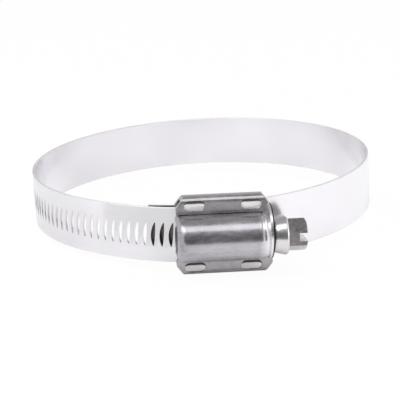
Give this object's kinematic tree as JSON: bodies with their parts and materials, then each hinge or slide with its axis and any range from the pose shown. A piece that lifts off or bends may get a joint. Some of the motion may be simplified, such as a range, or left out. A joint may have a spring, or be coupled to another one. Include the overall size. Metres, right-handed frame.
{
  "type": "worm drive hose clamp",
  "caption": "Worm drive hose clamp: a slotted steel band bent into a ring, with a barrel housing over the worm screw that draws it tight and a slotted hexagon head.",
  "frame": {"origin": "under the middle of the clamp's box, on the surface that it lies on", "axes": "+Z along the ring's axis, which is the hose's; -Y towards the housing; +X towards the screw's head"},
  "size_m": [0.1052, 0.1176, 0.0223],
  "materials": {
    "band_steel": "bright rolled stainless steel",
    "saddle_steel": "bright pressed stainless steel",
    "housing_steel": "polished drawn stainless steel",
    "screw_steel": "turned stainless steel"
  },
  "bodies": {
    "clamp_body": {"band": "band_steel", "saddle": "saddle_steel", "housing": "housing_steel"},
    "worm_screw": {"screw": "screw_steel"}
  },
  "joints": [
    {"name": "screw_turn", "type": "hinge", "parent": "clamp_body", "child": "worm_screw", "pos_m": [0, -0.05125, 0.01115], "axis": [-1, 0, 0], "range_deg": [-2490, 9720], "deforming": ["band"]}
  ]
}
